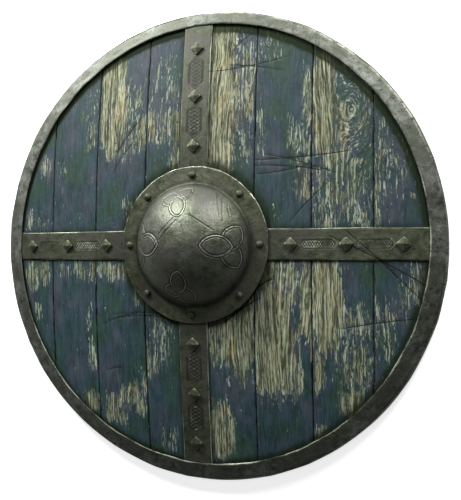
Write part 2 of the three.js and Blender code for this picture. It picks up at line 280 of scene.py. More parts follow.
# --- Materials ------------------------------------------------------------------------------------
class Finish:
    """One procedural material, put together node by node."""

    def __init__(self, name):
        self.material = bpy.data.materials.new(name)
        self.material.use_nodes = True
        self.tree = self.material.node_tree
        self.shader = self.tree.nodes["Principled BSDF"]

    def plug(self, value, socket):
        if isinstance(value, bpy.types.NodeSocket):
            self.tree.links.new(value, socket)
        else:
            socket.default_value = value

    def node(self, kind, inputs, **settings):
        made = self.tree.nodes.new(kind)
        for key, value in settings.items():
            setattr(made, key, value)
        for key, value in inputs.items():
            self.plug(value, made.inputs[key])
        return made

    def field(self, name):
        vector = self.node("ShaderNodeAttribute", {}, attribute_name=name).outputs["Vector"]
        return self.node("ShaderNodeSeparateXYZ", {0: vector}).outputs[:]

    def place(self):
        vector = self.node("ShaderNodeTexCoord", {}).outputs["Object"]
        return self.node("ShaderNodeSeparateXYZ", {0: vector}).outputs[:]

    def math(self, operation, a, b=0.0, clamp=False):
        inputs = {0: a, 1: b}
        return self.node("ShaderNodeMath", inputs, operation=operation, use_clamp=clamp).outputs[0]

    def total(self, *terms):
        """The sum of values, or of (value, factor) pairs."""
        scaled = [self.math("MULTIPLY", *t) if isinstance(t, tuple) else t for t in terms]
        result = scaled[0]
        for term in scaled[1:]:
            result = self.math("ADD", result, term)
        return result

    def noise(self, place, sizes, detail=3.0, roughness=0.55):
        """Noise whose bumps have the given sizes in metres along x, y and z."""
        axes = [self.math("DIVIDE", axis, size) for axis, size in zip(place, sizes)]
        vector = self.node("ShaderNodeCombineXYZ", dict(enumerate(axes))).outputs[0]
        inputs = {"Vector": vector, "Scale": 1.0, "Detail": detail, "Roughness": roughness}
        return self.node("ShaderNodeTexNoise", inputs).outputs[0]

    def step(self, value, low, high):
        inputs = {"Value": value, "From Min": low, "From Max": high}
        return self.node("ShaderNodeMapRange", inputs, interpolation_type="SMOOTHSTEP").outputs[0]

    def ramp(self, value, *stops):
        made = self.node("ShaderNodeValToRGB", {0: value})
        elements = made.color_ramp.elements
        for position, _ in stops[2:]:
            elements.new(position)
        for element, (position, colour) in zip(elements, stops):
            element.position = position
            element.color = (*colour, 1)
        return made.outputs[0]

    def mix(self, factor, a, b, blend="MIX"):
        a, b = (c if isinstance(c, bpy.types.NodeSocket) else (*c, 1) for c in (a, b))
        inputs = {0: factor, 6: a, 7: b}
        made = self.node("ShaderNodeMix", inputs, data_type="RGBA", blend_type=blend)
        return made.outputs[2]

    def finish(self, colour, roughness, height, depth, metallic=0.0):
        relief = self.node("ShaderNodeBump", {"Height": height, "Distance": depth, "Strength": 1.0})
        self.plug(relief.outputs[0], self.shader.inputs["Normal"])
        self.plug(colour, self.shader.inputs["Base Color"])
        self.plug(roughness, self.shader.inputs["Roughness"])
        self.plug(metallic, self.shader.inputs["Metallic"])
        return self.material


def bare_wood_colour(f, grain, along, seed):
    """Weathered wood: straw ridges with dark lines in the grooves between them."""
    place = (grain, along, seed)
    rings = f.noise(place, (2.6 * MM, 75 * MM, 1.0), 3.0, 0.62)
    hairs = f.noise(place, (1.3 * MM, 13 * MM, 1.0), 3.0, 0.62)
    patches = f.noise(place, (22 * MM, 70 * MM, 1.0), 3.0)
    lines = f.total((rings, 0.6), (hairs, 0.4))
    wood = f.ramp(lines, (0.41, (0.024, 0.030, 0.022)), (0.48, (0.088, 0.095, 0.062)),
                  (0.54, (0.215, 0.224, 0.149)), (0.64, (0.40, 0.41, 0.295)))
    wood = f.mix(f.step(patches, 0.52, 0.68), wood, (1.0, 0.83, 0.66), "MULTIPLY")
    wood = f.mix(f.step(patches, 0.46, 0.32), wood, (0.74, 0.80, 0.68), "MULTIPLY")
    return wood, lines


def painted_wood():
    """Slate paint over grey wood: worn through, grimy, cut, unpainted at the back; painted shade and
    light.
    """
    f = Finish("painted_wood")
    grain, along, bare = f.field("wood")
    cut_distance, cut_width, grime_and_shade = f.field("marks")
    edge, seed, back = f.field("plank")
    place = (grain, along, seed)
    wood, lines = bare_wood_colour(f, grain, along, seed)

    slivers = f.noise(place, (2.4 * MM, 18 * MM, 1.0), 3.0, 0.62)
    hairs = f.noise(place, (1.4 * MM, 6 * MM, 1.0), 3.0, 0.65)
    broad = f.noise(place, (8 * MM, 20 * MM, 1.0), 3.0, 0.6)
    roughly = f.total((slivers, 1.7), (hairs, 1.3), (broad, 1.4), (lines, 0.8), -2.67)
    shown = f.step(f.total((bare, 0.94), roughly), 0.40, 0.54)

    drift = f.noise(f.place(), (60 * MM, 90 * MM, 1.0), 3.0)
    blotch = f.noise(place, (13 * MM, 30 * MM, 2.0), 5.0, 0.62)
    streak = f.noise(place, (2.4 * MM, 40 * MM, 2.0), 4.0, 0.65)
    paint = f.ramp(drift, (0.38, (0.019, 0.041, 0.034)), (0.46, (0.019, 0.040, 0.046)),
                   (0.52, (0.021, 0.038, 0.054)), (0.61, (0.035, 0.044, 0.061)))
    mottled = f.total((blotch, 0.5), (streak, 0.5))
    shade = f.ramp(mottled, (0.38, (0.55, 0.60, 0.54)), (0.62, (1.45, 1.42, 1.34)))
    paint = f.mix(1.0, paint, shade, "MULTIPLY")
    scuffed = f.step(f.total((hairs, 0.6), (slivers, 0.4), (bare, 0.16)), 0.54, 0.74)
    paint = f.mix(f.math("MULTIPLY", scuffed, 0.55), paint, (0.11, 0.135, 0.12))

    aged = f.mix(1.0, wood, (0.80, 0.66, 0.50), "MULTIPLY")
    chipped = f.mix(f.step(bare, 0.85, 0.4), wood, f.mix(1.0, wood, (0.92, 1.02, 1.22), "MULTIPLY"))
    colour = f.mix(shown, paint, chipped)
    # Painted light: the face is lightened lower down and darkened a little higher up, evening out how
    # the lamps light it.
    lower = f.step(f.place()[1], 0.25, -0.30)
    painted_fill_below = f.mix(lower, (0.93, 0.93, 0.94), (1.23, 1.29, 1.31))
    colour = f.mix(1.0, colour, painted_fill_below, "MULTIPLY")
    colour = f.mix(back, colour, aged)
    # Painted shade: grime and the shadow under the rim's lip darken the paint to near black.
    grime_and_shade_level = f.total((grime_and_shade, 1.1), (blotch, 1.4), -0.7)
    grime_and_shade_mask = f.step(grime_and_shade_level, 0.1, 1.0)
    colour = f.mix(f.math("MULTIPLY", grime_and_shade_mask, 0.88), colour, (0.014, 0.019, 0.009))
    crack = f.step(f.total(edge, (slivers, 3.0), -1.3), 1.3, 0.1)
    colour = f.mix(crack, colour, (0.010, 0.012, 0.009))
    cut = f.step(f.math("SUBTRACT", cut_width, f.math("ABSOLUTE", cut_distance)), -0.1, 0.3)
    colour = f.mix(f.math("MULTIPLY", cut, 0.92), colour, (0.008, 0.008, 0.005))

    # The shine is less where the painted shade lies.
    f.plug(f.total((grime_and_shade_mask, -0.22), 0.22), f.shader.inputs["Specular IOR Level"])
    roughness = f.total((shown, 0.15), (blotch, 0.25), 0.56)
    height = f.total((lines, 0.55), (hairs, 0.25), (shown, -0.22), (cut, -0.8))
    return f.finish(colour, roughness, height, 0.9 * MM)


def bare_wood():
    """Brown unpainted wood, dark where it is handled."""
    f = Finish("bare_wood")
    grain, along, handled = f.field("wood")
    wood, lines = bare_wood_colour(f, grain, along, 3.7)
    colour = f.mix(1.0, wood, (0.75, 0.58, 0.42), "MULTIPLY")
    colour = f.mix(handled, colour, (0.075, 0.045, 0.024))
    roughness = f.total((handled, -0.3), (lines, 0.2), 0.68)
    return f.finish(colour, roughness, lines, 0.5 * MM)


def iron(name, dark, light, wear_and_highlight_colour, patina, roughness=0.55, metallic=0.85, mottling=0.13):
    """Old iron: mottled, pitted, patinated, dark in its grooves and painted shade, and bright where it
    is worn and where a highlight is painted.
    """
    f = Finish(name)
    wear_and_highlight, grooves_and_shade, tone = f.field("iron")
    place = f.place()
    mottle = f.noise(place, (14 * MM,) * 3, 5.0, 0.62)
    cloud = f.noise(place, (55 * MM,) * 3, 3.0)
    pits = f.noise(place, (3.6 * MM,) * 3, 4.0, 0.6)
    grit = f.noise(place, (1.3 * MM,) * 3, 3.0, 0.6)
    body = f.ramp(f.total((mottle, 0.7), (pits, 0.3)), (0.5 - mottling, dark), (0.5 + mottling, light))
    body = f.mix(f.math("MULTIPLY", f.step(cloud, 0.42, 0.60), 0.75), body, patina)
    body = f.mix(f.step(tone, 0.0, 1.0), body, (1.50, 1.44, 1.74), "MULTIPLY")
    pitted = f.math("MULTIPLY", f.step(pits, 0.41, 0.32), f.total((tone, -0.5), 0.65))
    body = f.mix(pitted, body, (0.014, 0.015, 0.010))
    # Wear and painted highlights turn bright; grooves and painted shade turn near black.
    bright = f.step(f.total(wear_and_highlight, (pits, 0.7), (mottle, 0.5)), 0.92, 1.45)
    body = f.mix(bright, body, wear_and_highlight_colour)
    body = f.mix(f.math("MULTIPLY", grooves_and_shade, 0.88), body, (0.008, 0.009, 0.006))
    rough = f.total((mottle, 0.3), (grit, 0.2), (bright, -0.1), roughness - 0.25)
    height = f.total((pits, 0.6), (grit, 0.25), (mottle, 0.9))
    return f.finish(body, rough, height, 0.8 * MM, metallic)


# --- Fields on the planks -------------------------------------------------------------------------
def beside_line(x, y, x1, y1, x2, y2, bow):
    """How far to the side of a bowed line each place is, and the line's taper towards its ends."""
    run_x, run_y = x2 - x1, y2 - y1
    length = math.hypot(run_x, run_y)
    along = ((x / MM - x1) * run_x + (y / MM - y1) * run_y) / length**2
    arch = 1 - (2 * along - 1) ** 2
    side = ((y / MM - y1) * run_x - (x / MM - x1) * run_y) / length - bow * arch
    return side, np.sqrt(np.clip(arch, 0, 1))


def cut_field(x, y):
    """Signed distance to the nearest cut and its half width there, in millimetres.

    The half width is NO_CUT_WIDTH wherever no cut is close.
    """
    reach, cut_side = 4, 2.6
    nearest, width = np.full(x.shape, FAR_FROM_CUTS), np.full(x.shape, NO_CUT_WIDTH)
    for x1, y1, x2, y2, half_width, bow in CUTS:
        side, taper = beside_line(x, y, x1, y1, x2, y2, bow)
        closer = (np.abs(side) < np.abs(nearest)) & (taper > 0) & (np.abs(side) < reach)
        nearest = np.where(closer, side, nearest)
        here = np.where(np.abs(side) < cut_side, 1.3 * half_width * taper, NO_CUT_WIDTH)
        width = np.where(closer, here, width)
    return np.clip(nearest, -reach, reach), width


def bareness(number, x, y):
    """How far a plank's paint is worn away, from 0 to 1."""
    scraped = np.zeros(x.shape)
    for line in SCRAPES:
        side, taper = beside_line(x, y, *line)
        scraped = np.maximum(scraped, 0.95 * bump(side, 2.0) * smooth(2 * taper))
    x, y = x / MM, y / MM
    x = x + 3 * noise(x / 9, y / 30, 41)
    y = y + 9 * noise(x / 7, y / 26, 42)
    bare = np.zeros(x.shape)
    power = 2.6  # between an ellipse and a rectangle
    for cx, cy, half_width, half_height, amount in WEAR[number]:
        u, v = np.abs((x - cx) / half_width), np.abs((y - cy) / half_height)
        away = (u**power + v**power) ** (1 / power)
        bare = np.maximum(bare, amount * smooth((1.45 - away) / 0.8))
    for cx, cy, half_width, half_height in PAINT_ISLANDS:
        away = np.hypot((x - cx) / half_width, (y - cy) / half_height)
        bare = bare * (1 - 0.85 * smooth((1.3 - away) / 0.6))
    return np.maximum(bare, scraped)


def grain_of(number, x, y):
    """Which growth ring a point lies on, as a length across the grain."""
    heart, slant = HEARTS[number]
    broad_sway = 4.5 * MM * layered(y / 0.17, x / 0.06, 7 + number)
    fine_sway = 1.6 * MM * layered(y / 0.035, x / 0.012, 17, 2)
    across = x + (broad_sway + fine_sway)
    rings = np.hypot(across - heart * MM, 3 * MM) + slant * y
    soft = 7 * MM
    for cx, cy, size in KNOTS.get(number, []):
        wander = 3.2 * MM * layered(x / 0.026, y / 0.034, 90, 2)
        about = np.hypot(across - cx * MM, 0.6 * (y - cy * MM)) + wander
        about = about - size * MM + abs(cx - heart) * MM
        rings = -soft * np.log(np.exp(-rings / soft) + np.exp(-about / soft))
    return rings


def grime_and_shade_of(x, y):
    """Grime and painted shade by the rim, boss and straps, darkest under the rim's upper side."""
    r = np.hypot(x, y)
    beside = np.minimum(np.abs(x), np.abs(y)) - STRAP_HALF_WIDTH
    lip_shadow_side = smooth(0.35 + 0.8 * y / np.maximum(r, 1 * MM))
    rim = 0.6 * bump(np.maximum(RIM_INNER - r, 0), 12 * MM)
    # Painted shadow: a dark band under the rim's lip on its upper side, where the lamps throw the lip's
    # shadow.
    rim = rim + (0.3 + 0.9 * lip_shadow_side) * bump(np.maximum(RIM_INNER - 1 * MM - r, 0), 6 * MM)
    boss = 0.8 * bump(np.maximum(r - FLANGE_RADIUS, 0), 16 * MM)
    strap = 0.55 * bump(np.maximum(beside, 0), 9 * MM)
    return np.maximum(np.maximum(rim, boss), strap)


# --- Pieces ---------------------------------------------------------------------------------------
def edge_spaced(count, fine):
    """Fractions from 0 to 1, closer together at both ends."""
    t = np.linspace(0, 1, count)
    return t - fine * np.sin(2 * math.pi * t) / (2 * math.pi)


def plank(number, material):
    """A dished plank: a fine front with grain and cuts, a plainer back, and part of the hand hole."""
    node = f"plank_{number}"
    low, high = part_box(node)
    outer = 394 * MM  # inside the rim's channel
    left, right = max(low.x, -outer), min(high.x, outer)
    columns, crowding, row_spacing, shortest = 52, 0.75, 2.3 * MM, 18 * MM
    across = edge_spaced(columns, crowding)
    nominal = left + (right - left) * across
    reach = np.sqrt(np.maximum(BOARD_RADIUS**2 - nominal**2, shortest**2))
    rows = int(2 * reach.max() / row_spacing) + 1
    y = np.linspace(-1, 1, rows)[:, None] * reach[None, :]

    def inset(seed):
        ragged = np.maximum(noise(y / 0.011, 0 * y, seed) - 0.25, 0) * 1.5 * MM
        return 0.2 * MM * (1 + noise(y / 0.05, 0 * y, seed + 1)) + ragged

    start, end = left + inset(number * 5), right - inset(number * 5 + 2)
    x = start + (end - start) * across[None, :]
    edge = np.minimum(x - start, end - x)

    inside = np.hypot(x, y) < HAND_HOLE_RADIUS
    cut_out = inside[:-1, :-1] | inside[1:, :-1] | inside[:-1, 1:] | inside[1:, 1:]
    kept_beside = corners_of(~cut_out)
    inside_lip = corners_of(cut_out) & kept_beside
    pull = np.where(inside_lip, HAND_HOLE_RADIUS / np.maximum(np.hypot(x, y), 1 * MM), 1.0)
    x, y = x * pull, y * pull

    r = np.hypot(x, y)
    bare = bareness(number, x, y)
    grain = grain_of(number, x, y)
    cut_distance, cut_width = cut_field(x, y)
    ridges = layered(grain / (4.2 * MM), y / 0.13, number, 2)
    sunk = (
        1.5 * MM * np.exp(-edge / (1.1 * MM))
        + 0.25 * MM * bare
        + (0.10 + 0.22 * bare) * MM * (1 + ridges) / 2
        + 0.35 * MM * (1 + noise(x / 0.05, y / 0.15, number + 60)) / 2
        + 0.9 * MM * bump(cut_distance, 1.1) * (cut_width > 0)
    )
    top = np.stack([x, y, front(r) - sunk], -1)
    straight = (low.x - JOINT_CLOSING) + (high.x - low.x + 2 * JOINT_CLOSING) * across[None, :]
    straight = np.clip(straight, -outer, outer)
    below = np.where(inside_lip, x, straight)
    raised = 0.3 * MM * (1 + layered(grain / (6 * MM), y / 0.2, number + 80, 2)) / 2
    rounded = 1.5 * MM * np.exp(-edge / (1.4 * MM))
    bottom = np.stack([below, y, front(np.hypot(below, y)) - BOARD_THICKNESS + raised + rounded], -1)

    points, faces, used = field_solid(top, bottom, ~cut_out)
    is_back = used >= x.size
    cell = used % x.size

    def pick(values):
        """A grid of values, read at the points that are in use."""
        return np.broadcast_to(values, x.shape).ravel()[cell]

    back_grime = 0.25
    fields = {
        "wood": np.stack([pick(grain), points[:, 1], np.where(is_back, 1.0, pick(bare))], -1),
        "marks": np.stack([np.where(is_back, FAR_FROM_CUTS, pick(cut_distance)),
                           np.where(is_back, NO_CUT_WIDTH, pick(cut_width)),
                           np.where(is_back, back_grime, pick(grime_and_shade_of(x, y)))], -1),
        "plank": np.stack([pick(edge) / MM, number * 1.37 + points[:, 0] / (8 * MM), is_back], -1),
    }
    make_piece(node, points, faces, fields, material)


def iron_rim(material):
    """The folded rim: its outline is carried round, then pressed, dented and worn as on a made one,
    with painted highlights and painted shade.
    """

    def lip_shift(turn):
        """The hand-folded lip is wider at the lower left than at the upper right."""
        return 4.9 * MM * np.cos(turn - math.radians(48)) - 2.1 * MM * np.cos(2 * turn)

    def refine(corners, spacings):
        """Points along the outline, closer where the spacing is small."""
        made = []
        for (a, b), spacing in zip(zip(corners, corners[1:] + corners[:1]), spacings):
            count = max(1, round(math.dist(a, b) / spacing))
            made += [np.add(a, np.subtract(b, a) * k / count) for k in range(count)]
        return np.array(made)

    def under(r):
        return front(r * MM) / MM + CARRIED / MM

    def over(r):
        return under(r) + RIM_THICKNESS / MM

    def back_lip(r):
        return front(r * MM) / MM - 9.4

    # The CAD's outline in millimetres: up the outer wall, over the lip, down inside and round the back.
    corners = [(398.5, 0), (400, 1.5), (400, 11.5), (398.8, 14), (395.2, over(395.2)),
               (371.2, over(371.2)), (370, over(370) - 1.2), (370, under(370)), (395.2, under(395.2)),
               (397.4, 11.5), (397.4, back_lip(397.4)), (372, back_lip(372)),
               (372, back_lip(372) - 2.6), (388, 0)]
    visible, hidden = 1.5, 9
    spacings = [0.8, visible, 0.8, 0.8, visible, 0.6, 0.8, hidden, hidden, hidden, hidden, 1.2, 3, 3]
    profile = refine(corners, spacings)
    for _ in range(2):
        softened = 0.5 * profile + 0.25 * (np.roll(profile, 1, 0) + np.roll(profile, -1, 0))
        profile = np.where((profile[:, 1:] > 1) & (profile[:, 1:] < 60), softened, profile)
    r, z = profile[:, 0] * MM, profile[:, 1] * MM

    sections = 640
    turn = (np.arange(sections) / sections * 2 * math.pi)[:, None]
    flats = (turn / math.radians(16) + 0.6 * noise(turn * 4, 0 * turn, 3)) % 1 - 0.5
    scallop = 0.9 * MM * (1 - (2 * flats) ** 2) + 0.4 * MM * (1 + noise(turn * 9, 0 * turn, 4))
    outside = smooth((r - 388 * MM) / (8 * MM)) * (z > 0.5 * MM)
    is_top = z > front(r) + CARRIED + 1.4 * MM
    above_wall = z > 12 * MM
    lip = smooth((393 * MM - r) / (20 * MM)) * above_wall
    ripple = 0.6 * MM * noise(turn * 14, 0 * turn, 5) + 0.3 * MM * noise(turn * 40, 0 * turn, 6)
    pressed_in = 3.2 * MM * smooth((-0.25 - np.cos(turn - math.radians(27))) / 0.9)
    radius = r - (scallop + pressed_in) * outside + (lip_shift(turn) + ripple) * lip
    arc = turn * SHIELD_RADIUS
    small_dents = np.maximum(layered(arc / 0.017, r / 0.014, 8), 0)
    dents = small_dents + 0.6 * np.maximum(noise(arc / 0.05, r / 0.03, 9), 0)
    waves = 0.4 * (1 + noise(arc / 0.035, 0 * arc, 10))
    height = z + front(radius) - front(r) - (0.55 * dents + waves) * MM * is_top
    height = np.where(above_wall, height, z)
    x, y = radius * np.cos(turn), radius * np.sin(turn)
    cut_distance, cut_width = cut_field(x, y)
    cut = bump(cut_distance, 1.3) * (cut_width > 0) * above_wall
    height = height - 0.6 * MM * cut
    rings = np.stack([x, y, height], -1)
    inner_edge = bump(np.hypot(r - 370.6 * MM, z - over(370) * MM + 0.7 * MM), 2.5 * MM)
    outer_edge = bump(np.hypot(r - 396.4 * MM, z - 16 * MM), 3.0 * MM)
    # Painted highlight: the lip's inner edge is brightened only on the lower half, where it faces the
    # lamps, and the outer edge mostly at the upper right; the rest is wear.
    lit_lower_half = smooth(0.5 - 0.8 * np.sin(turn - math.radians(20)))
    lit_upper_right = smooth(0.6 * np.cos(turn - math.radians(50)))
    wear_and_highlight = (1.05 * inner_edge * lit_lower_half + (0.3 + 0.7 * lit_upper_right) * outer_edge)
    wear_and_highlight = wear_and_highlight * (0.75 + 0.5 * noise(arc / 0.03, r / 0.01, 11))
    # Painted shade: the rim is darkened most at the lower right, and some at the top, where it dims the
    # lamps' highlight, and at the lower left. The lip's underside over the board is shadowed too.
    dirt_and_shade = 0.5 * smooth(0.25 + 0.75 * np.cos(turn - math.radians(310)))
    dirt_and_shade = dirt_and_shade + 0.22 * smooth(2 * np.cos(turn - math.radians(115)) - 1)
    dirt_and_shade = (dirt_and_shade + 0.17 * smooth(2 * np.cos(turn - math.radians(225)) - 1)) * (z > 1 * MM)
    shadowed = 1.0 * (z < front(r) + CARRIED + 0.6 * MM) * (r < 396 * MM) * (z > 8 * MM)
    grooves_and_shade = np.maximum(np.maximum(0.9 * cut, 0.5 * shadowed), dirt_and_shade)
    tone = 0.35
    fields = {"iron": np.stack(np.broadcast_arrays(wear_and_highlight, grooves_and_shade, tone), -1)}
    points, faces, fields = loft(rings, fields, ring_closed=True)
    make_piece("iron_rim", points, faces, fields, material)


def knotwork(along, across, half_width, pitch, border_height):
    """A plaited panel with a raised border, about its own centre, in millimetres.

    Gives the height of its lines, and where its ground is.
    """
    strands, half_length = 4, 31
    slanted_end = (np.abs(along) + 0.9 * np.abs(across) - half_length) * 0.74
    hexagon = np.maximum(np.abs(across) - half_width, slanted_end)
    border = bump(hexagon, 0.8) * border_height
    swing = 0.61 * half_width
    plait = 0
    for strand in range(strands):
        wave = swing * np.sin(2 * math.pi * (along / pitch + strand / strands))
        plait = plait + bump(across - wave, 1.2)
    inside = smooth(-(hexagon + 1.2) / 0.8)
    return border + np.clip(plait, 0, 1) * inside, smooth(-hexagon)


def strap(arm, angle, material):
    """A strap from under the boss to under the rim, with a plaited panel between each two studs."""
    length = STRAP_ENDS[1] - STRAP_ENDS[0]
    sections = int(length / (1.0 * MM)) + 1
    along = np.linspace(*STRAP_ENDS, sections)[:, None]
    fine = STRAP_HALF_WIDTH * (2 * edge_spaced(62, 0.8) - 1)
    coarse = STRAP_HALF_WIDTH * np.linspace(1, -1, 5)
    across = np.concatenate([fine, coarse])[None, :]
    is_top = (np.arange(across.size) < fine.size)[None, :]
    seed = 20 + list(ARMS).index(arm)

    edge = STRAP_HALF_WIDTH - np.abs(across)
    outward = smooth(np.abs(across) / STRAP_HALF_WIDTH)
    wobble = 0.5 * MM * noise(along / 0.04, np.sign(across) * 3, seed) * outward
    b = across + wobble
    relief, panel = np.zeros(np.broadcast(along, b).shape), 0
    half_width, pitch, border_height, brightness = PANELS[arm]
    for first, second in zip(STUD_RADII, STUD_RADII[1:]):
        from_middle = (along - (first + second) / 2) / MM
        raised, ground = knotwork(from_middle, b / MM, half_width, pitch, border_height)
        relief, panel = relief + raised, panel + ground
    c, s = math.cos(angle), math.sin(angle)
    cut_distance, cut_width = cut_field(along * c - b * s, along * s + b * c)
    cut = bump(cut_distance, 0.9) * (cut_width > 0)
    hammered = np.maximum(layered(along / 0.019, b / 0.017, seed), 0)
    worn_away = 0.6 + 0.4 * smooth(0.5 + noise(along / 0.02, b / 0.02, seed + 9))
    sunk = (
        1.1 * MM * np.exp(-edge / (0.8 * MM)) + 0.25 * MM * hammered
        + 0.35 * MM * panel - 0.55 * MM * relief * worn_away + 0.7 * MM * cut
    )
    r = np.hypot(along, b)
    top = front(r) + GAP + STRAP_THICKNESS - sunk
    height = np.where(is_top, top, front(r) + GAP)
    rings = np.stack(np.broadcast_arrays(along, b, height), -1)
    # The edges are brightened all round, as wear and as a painted highlight; the raised plait is bright
    # with wear.
    wear_and_highlight = 1.1 * np.exp(-edge / (1.3 * MM)) * (0.7 + 0.5 * noise(along / 0.03, across / 0.02, seed + 5))
    wear_and_highlight = wear_and_highlight + brightness * relief * worn_away
    # Darkened: the cuts, the panels' sunk ground, every strap towards the boss, and the whole top
    # strap, which the lamps light most: painted shade.
    dirt_and_shade = STRAP_PAINTED_SHADE[arm] + 0.4 * smooth((215 * MM - along) / (110 * MM))
    grooves_and_shade = np.clip(0.65 * panel * (1 - np.clip(relief, 0, 1)) + cut + dirt_and_shade, 0, 1) * is_top
    tone = 0.1
    fields = {"iron": np.stack(np.broadcast_arrays(wear_and_highlight, grooves_and_shade, tone), -1)}
    points, faces, fields = loft(rings, fields)
    make_piece(f"strap_{arm}", placed(points, angle), faces, fields, material)


def trefoil(inward, sideways):
    """A trefoil of three leaves in double line, about its own centre, in millimetres.

    Gives the depth of its cut lines, and the bands between them.
    """
    length, width, offset = 57.0, 38.0, 17.0
    arc = (length**2 + width**2) / (4 * width)

    def leaf(turn):
        c, s = math.cos(turn), math.sin(turn)
        p, q = c * inward + s * sideways - offset, -s * inward + c * sideways
        return np.hypot(p, np.abs(q) + arc - width / 2) - arc

    main, left, right = (leaf(k * 2 * math.pi / 3) for k in range(3))
    behind = 0.1 + 0.9 * smooth((main - 0.5) / 1.0)
    right_behind = behind * (0.1 + 0.9 * smooth((left - 0.5) / 1.0))
    lines, bands = np.zeros(inward.shape), np.zeros(inward.shape)
    for distance, seen in ((main, 1.0), (left, behind), (right, right_behind)):
        lines = np.maximum(lines, seen * (bump(distance, 0.85) + bump(distance + 4.4, 0.85)))
        bands = np.maximum(bands, seen * bump(distance + 2.2, 0.9))
    return np.clip(lines, 0, 1), bands


def engraving(x, y):
    """Cut lines and the bands between them on the dome, at places in millimetres seen from above."""
    sphere = (DOME_RADIUS**2 + DOME_HEIGHT**2) / (2 * DOME_HEIGHT) / MM
    r = np.hypot(x, y)
    stretch = sphere * np.arcsin(np.clip(r / sphere, 0, 1)) / np.maximum(r, 1e-6)
    u, v = x * stretch, y * stretch
    depth, band = np.zeros(x.shape), np.zeros(x.shape)
    for azimuth, reach, size, twist, strength in DOME_KNOTS:
        c, s = math.cos(math.radians(azimuth)), math.sin(math.radians(azimuth))
        inward, sideways = reach - (c * u + s * v), -s * u + c * v
        c, s = math.cos(math.radians(twist)), math.sin(math.radians(twist))
        cut, raised = trefoil((c * inward + s * sideways) / size, (c * sideways - s * inward) / size)
        depth = np.maximum(depth, strength * cut)
        band = np.maximum(band, strength * raised)
    for x1, y1, x2, y2, strength in DOME_CUTS:
        run = math.hypot(x2 - x1, y2 - y1)
        along = ((x - x1) * (x2 - x1) + (y - y1) * (y2 - y1)) / run
        side = ((y - y1) * (x2 - x1) - (x - x1) * (y2 - y1)) / run
        ends = smooth(along / 3) * smooth((run - along) / 3)
        depth = np.maximum(depth, strength * bump(side, 0.75) * ends)
    on_dome = smooth((DOME_RADIUS / MM - 2 - r) / 4)
    return depth * on_dome, band * on_dome


